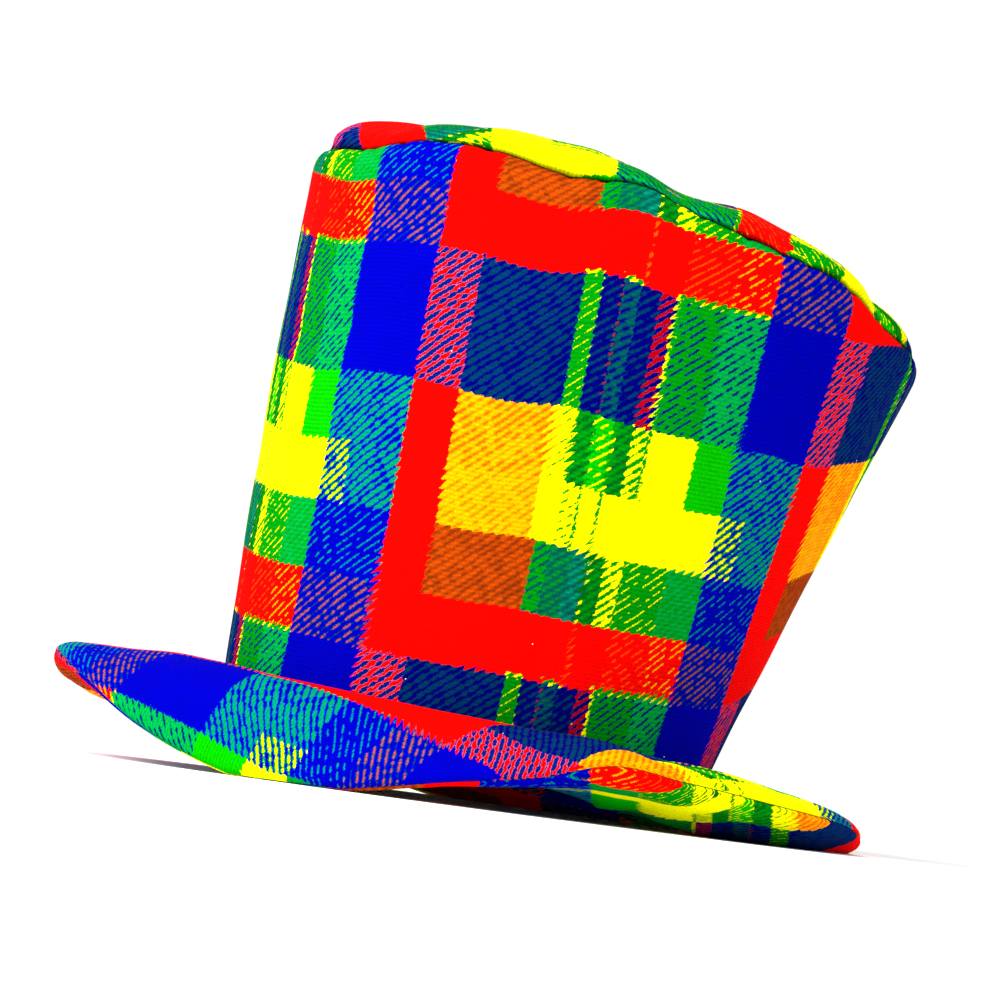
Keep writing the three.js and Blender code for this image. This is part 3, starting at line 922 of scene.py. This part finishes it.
brimLook = {
    "turns": 432,
    "rows": 62,
    "edgeRows": 10,
    "backRows": 10,
    "lipRows": 5,
    "unevenness": 0.35,
    "underUnevenness": 0.8,
    "crownFade": (2, 14),  # unevenness begins over this distance from the crown
    "edgeFade": (0, 8),
    "gatherFade": (0.5, 4),
    "startShare": 0.16,    # the upper layer keeps clear of the wall up to here
    "topDeepest": 2.8,     # no crease goes deeper
    "underDeepest": 2.2,
    "underSlack": 0.6,     # but this much more where the lower layer sags
    "floorFade": (0, 4),   # creases die out near the floor
    "lipFade": 3,
    "wallCrease": 2.2,     # how deep the upper layer is drawn in along the crown
    "wallCreaseWidth": 6,
    "topCloth": {"warp": (0.561, 0.821), "weft": (-0.909, 0.751), "right": 166, "up": -64},
    "topPull": {"azimuth": 225, "wide": 28, "stretch": 0.16, "radius": 125},
    "underWarp": (-1.01, 0.113, -102),
    "underRadius": 130,    # where the radius is this, underWeft gives the height itself
    "underInner": 103,
    "underEdge": (151, 161),
    "hemRows": 5,
    "hemThickness": 0.8,
}

brimBase = {"seed": 12, "count": 44, "depth": 1.2, "spread": 1.7, "reach": 11, "lean": 0.2}
brimEdge = {"seed": 21, "count": 60, "depth": 0.9, "spread": 1.2, "reach": 9, "lean": 0.25}
brimWaves = [(6, 60), (9, 45), (15, 80), (23, 50)]

topFolds = table(  # share is of the brim's width, wide in degrees, tall a share of the width, depth in mm
    ("azimuth", "share", "wide", "tall", "slant", "depth"),
    (300, 0.62, 3, 0.22, 0.9, 1.8),
    (307, 0.5, 2.4, 0.25, 0.7, 2),
    (316, 0.7, 3, 0.2, -0.8, 1.6),
    (328, 0.45, 4, 0.22, 0.6, 1.4),
    (190, 0.5, 6, 0.2, 0.5, 1.5),
    (96, 0.5, 5, 0.25, 0.7, 1.5),
    (40, 0.55, 6, 0.2, -0.6, 1.4),
)

underFolds = table(  # the same for the lower layer
    ("azimuth", "share", "wide", "tall", "slant", "depth"),
    (320, 0.45, 4, 0.3, 1.2, 3.5),
    (338, 0.5, 5, 0.3, -1, 3),
    (352, 0.4, 5, 0.3, 1.1, 3),
    (300, 0.5, 3.5, 0.3, 0.8, 2.4),
    (128, 0.4, 6, 0.25, 1, 2),
    (205, 0.5, 6, 0.25, -0.8, 1.8),
    (64, 0.5, 5, 0.25, 0.8, 1.8),
)

# A fold that hangs down, steep towards the opening: share is of the brim's width, height in mm
underRidge = table(
    ("azimuth", "share", "height"),
    (30, 0.7, 0),
    (150, 0.6, 0),
    (272, 0.68, 0),
    (292, 0.61, 3.5),
    (308, 0.5, 6),
    (328, 0.38, 7),
    (350, 0.42, 7),
    (8, 0.62, 5),
)

# the last two give the painted shade line along the fold's inner foot: the fold height at which it is full,
# and its width as a share of the brim's width
ridgeLook = {"inner": 0.09, "outer": 0.3, "paintedShadeHeight": 10, "paintedShadeWidth": 0.025}


def brimShares():  # evenly over the width, then closer together round the edge
    edgeStart = 1 - brim["edgeRound"] / brim["width"]
    wide = np.linspace(0, edgeStart, brimLook["rows"], endpoint=False)
    edge = mix(edgeStart, 1, sind(90 * np.linspace(0, 1, brimLook["edgeRows"])))
    return joined(wide, edge)[None, :], np.linspace(0, 1, brimLook["backRows"])[None, :]


def brimRelief(azimuth, points, start, unevenness, folds, seed):  # the brim's width begins at row start
    along = pathOf(points)
    out, left = np.maximum(along - along[0, start], 0), along[0, -1] - along
    fade = ramp(left, *brimLook["edgeFade"])
    waves = unevenness * ripple(azimuth, along, brimWaves, seed) * ramp(out, *brimLook["crownFade"])
    relief = (waves + dents(azimuth, out / out[0, -1], folds)) * fade
    relief = relief + gathers(azimuth, left, brimEdge) * ramp(left, *brimLook["gatherFade"])
    return relief + gathers(azimuth, out, brimBase), along


def makeBrimTop():
    closed = startingAt(0, brimLook["turns"])
    azimuth = closed[:-1]
    share, backShare = brimShares()
    outward = stack(cosd(azimuth), sind(azimuth), 0)
    height = brim["topPad"] + join["clearance"] / 2
    wall = wallPoint(azimuth, np.array(height / crown["height"]), np.array(0.0), 0)
    wallRadius = np.maximum(crown["radius"], np.hypot(wall[..., 0], wall[..., 1]))
    start = wallRadius + join["clearance"] - crown["radius"]

    def layer(share, depth):  # kept clear of the wall
        clear = start * (1 - ramp(share, 0, brimLook["startShare"]))
        return brimLayer(azimuth, share, depth) + outward * clear[..., None] @ lean.T

    upper = layer(share, -topDepth(azimuth, share))
    lower = layer(backShare, 0 * azimuth - join["clearance"] / 2)
    relief, along = brimRelief(azimuth, upper, 0, brimLook["unevenness"], topFolds, 7)
    relief = relief - brimLook["wallCrease"] * bell(along, brimLook["wallCreaseWidth"])
    upper = upper - normalsOf(upper) * np.maximum(relief, -brimLook["topDeepest"])[..., None]

    def topCloth(path):
        radius = crown["radius"] + path
        cloth = laidCloth(radius * cosd(closed), radius * sind(closed), brimLook["topCloth"])
        pull = brimLook["topPull"]
        pulled = pull["stretch"] * (radius - pull["radius"]) * bell(closed - pull["azimuth"], pull["wide"])
        cloth[..., 0] -= pulled / clothUnit
        return cloth

    return ringMesh("brimTop", lower, upper, topCloth(pathOf(lower)), topCloth(along), checked)


underHem = table(  # the cloth turned up into the head opening, in mm
    ("azimuth", "rise", "inward"),
    (0, 1, 3.5),
    (30, 1, 2.5),
    (50, 1.5, 1),
    (72, 3.5, 0),
    (95, 5, 0),
    (130, 6.5, 0),
    (175, 7, 0),
    (220, 3, 0),
    (300, 2, 0),
    (340, 1, 2.5),
)

# The check's height in mm at underRadius, and how fast it goes up with the radius; inner is a further fall
# inside underInner, and edge a step over underEdge
underWeft = table(
    ("azimuth", "up", "spread", "inner", "edge"),
    (11, 28, -0.4, 0, 0),
    (20, 75, -0.3, 0, 0),
    (28, 110, 0, 0, 0),
    (38, 135, 0.3, 0.2, 0),
    (50, 150, 0.5, 0.5, 0),
    (65, 160, 0.6, 1, 0),
    (79, 168, 0.66, 1, 0),
    (90, 173, 0.7, 1, 0),
    (103, 167, 0.6, 1, 0),
    (122, 158, 0.6, 0.8, 0),
    (147, 77, 0, 0, 0),
    (166, 44, -0.4, 0, 0),
    (177, 26, -0.3, 0, 0),
    (200, -20, -0.35, 0, 0),
    (222, -52, -0.65, 0, 0),
    (245, -75, -0.9, 0, -22),
    (270, -82, -1, 0, -15),
    (281, -74, -1.15, 0, -18),
    (289, -65, -1.4, 0, -42),
    (296, -57, -1.5, 0, -46),
    (303, -46, -1.6, 0, -28),
    (311, -34, -1.6, 0, 0),
    (318, -22, -1.7, 0, 0),
    (329, -25, -1.3, 0, 0),
    (344, -24, 0, 0, 0),
    (356, -1, -0.2, 0, 0),
)


def makeBrimUnderside():
    closed = startingAt(0, brimLook["turns"])
    azimuth = closed[:-1]
    share, backShare = brimShares()
    under = underDepth(share)
    half = (underDepth(0) - join["clearance"] / 2) / 2
    top = -join["clearance"] / 2
    opening = crown["headRadius"] - brim["openingLip"] - around(underHem, "inward", azimuth)
    rise = around(underHem, "rise", azimuth)
    hem = np.linspace(1, 0, brimLook["hemRows"], endpoint=False)[None, :]
    bend = np.linspace(0, -90, brimLook["lipRows"])[None, :]  # the turned-in edge is round

    def hemRing(radius, height):
        return settle(stack(radius * cosd(azimuth), radius * sind(azimuth), height))

    lip = np.concatenate([hemRing(opening, mix(top - half, rise, hem)),
                          hemRing(opening + half * (1 - cosd(bend)), top + half * (sind(bend) - 1))], axis=1)
    lower = brimLayer(azimuth, share, under + 0 * azimuth)
    swell = brim["sag"] * around(brimFolds, "sag", azimuth) * brimSwell(share)
    lower[..., 2] = np.maximum(0, lower[..., 2] - swell)
    lower = np.concatenate([lip, lower], axis=1)
    hemBack = hemRing(opening + brimLook["hemThickness"], mix(top, rise, np.array([[1, 0.0]])))
    upper = np.concatenate([hemBack, brimLayer(azimuth, backShare, 0 * azimuth - top)], axis=1)

    start = lip.shape[1]
    relief, along = brimRelief(azimuth, lower, start, brimLook["underUnevenness"], underFolds, 8)
    lipEnd = along[0, start]
    ridgeShare = (along - lipEnd) / (along[0, -1] - lipEnd) - around(underRidge, "share", azimuth)
    ridgeHeight = np.maximum(around(underRidge, "height", azimuth), 0)
    side = np.where(ridgeShare < 0, ridgeLook["inner"], ridgeLook["outer"])
    relief = relief + ridgeHeight * bell(ridgeShare, side)
    # painted shade of the fold: a dark line along its inner foot, darker the higher the fold
    crease = bell(ridgeShare + ridgeLook["inner"], ridgeLook["paintedShadeWidth"])
    crease = ridgeHeight / ridgeLook["paintedShadeHeight"] * crease
    slack = np.concatenate([0 * lip[..., 2], swell], axis=1)
    relief = np.maximum(relief, -brimLook["underDeepest"] - brimLook["underSlack"] * slack)
    fade = ramp(along, lipEnd - brimLook["lipFade"], lipEnd + brimLook["lipFade"])
    relief = relief * ramp(lower[..., 2], *brimLook["floorFade"]) * fade
    lower = lower + normalsOf(lower) * relief[..., None]
    lower[..., 2] = np.maximum(0, lower[..., 2])

    def underCloth(path):
        radius = crown["radius"] + path
        warpAlong, warpAcross, right = brimLook["underWarp"]
        columns = ("up", "spread", "inner", "edge")
        up, spread, inner, edge = (around(underWeft, column, closed) for column in columns)
        up = up + (radius - brimLook["underRadius"]) * spread
        up = up - np.maximum(0, brimLook["underInner"] - radius) * inner
        up = up + edge * ramp(radius, *brimLook["underEdge"])
        return clothPlace(radius * (cosd(closed) * warpAlong + sind(closed) * warpAcross) + right, up)

    backPath = pathOf(upper)
    backStart = backPath[0, hemBack.shape[1]]
    cloth, backCloth = underCloth(along - lipEnd), underCloth(backPath - backStart)
    return ringMesh("brimUnderside", lower, upper, cloth, backCloth, checked, crease)


pieces = {
    "crown_wall": makeCrownWall(),
    "crown_tip": makeCrownTip(),
    "crown_lining": makeCrownLining(),
    "brim_top": makeBrimTop(),
    "brim_underside": makeBrimUnderside(),
}
for node, piece in pieces.items():
    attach(piece, "root")
    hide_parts(node)
    "lining_cloth" if node == "crown_lining" else "checked_plush"
    print(piece.name, "has", len(piece.data.polygons), "faces")


# Floor, lights and camera

studio = {  # in metres
    "floorSize": 12,
    "floorTone": 0.93,
    "floorRoughness": 0.9,
    "skyLeft": 1.4,        # brightness of the surroundings on the two sides
    "skyRight": 0.8,
    "keyLight": 93,
    "keyPlace": (-1.3, -1.5, 1.9),
    "keySize": 1.6,
    "distance": 1.2,
    "cameraHeight": 0.012,
    "aim": (0.003, 0, 0.1258),
    "roll": 7.6,
    "lens": 104.1,
}


def makeFloor():
    half = studio["floorSize"] / 2
    mesh = bpy.data.meshes.new("floor")
    corners = [(-half, -half, 0), (half, -half, 0), (half, half, 0), (-half, half, 0)]
    mesh.from_pydata(corners, [], [(0, 1, 2, 3)])
    floor = bpy.data.objects.new("floor", mesh)
    bpy.context.collection.objects.link(floor)
    material = bpy.data.materials.new("floorPaint")
    material.use_nodes = True
    shader = material.node_tree.nodes["Principled BSDF"]
    shader.inputs["Base Color"].default_value = (*[studio["floorTone"]] * 3, 1)
    shader.inputs["Roughness"].default_value = studio["floorRoughness"]
    shader.inputs["Specular IOR Level"].default_value = 0
    mesh.materials.append(material)
    return floor


def makeLights():
    world = bpy.data.worlds.new("studio")
    world.use_nodes = True
    background = world.node_tree.nodes["Background"]
    start = Value(background.outputs[0])
    place = start.node("ShaderNodeTexCoord", {}, {})
    axes = start.node("ShaderNodeSeparateXYZ", {}, {"Vector": Value(place.outputs["Generated"])})
    sides = [(*[studio[side]] * 3, 1) for side in ("skyLeft", "skyRight")]
    sky = (Value(axes.outputs["X"]) * 0.5 + 0.5).blend(*sides)
    world.node_tree.links.new(sky.socket, background.inputs["Color"])
    bpy.context.scene.world = world
    light = bpy.data.lights.new("keyLight", "AREA")
    light.energy = studio["keyLight"]
    light.size = studio["keySize"]
    key = bpy.data.objects.new("keyLight", light)
    key.location = studio["keyPlace"]
    key.rotation_euler = (Vector(studio["aim"]) - key.location).to_track_quat("-Z", "Y").to_euler()
    bpy.context.collection.objects.link(key)


def makeCamera():
    aim = Vector(studio["aim"])
    rise = studio["cameraHeight"] - aim.z
    away = math.sqrt(studio["distance"] ** 2 - rise ** 2)
    data = bpy.data.cameras.new("camera")
    data.lens = studio["lens"]
    camera = bpy.data.objects.new("camera", data)
    camera.location = aim + Vector((0, -away, rise))
    look = (aim - camera.location).to_track_quat("-Z", "Y").to_matrix()
    camera.rotation_euler = (look @ Matrix.Rotation(math.radians(studio["roll"]), 3, "Z")).to_euler()
    bpy.context.collection.objects.link(camera)
    bpy.context.scene.camera = camera


makeFloor()
makeLights()
makeCamera()
bpy.context.scene.view_settings.view_transform = "Standard"
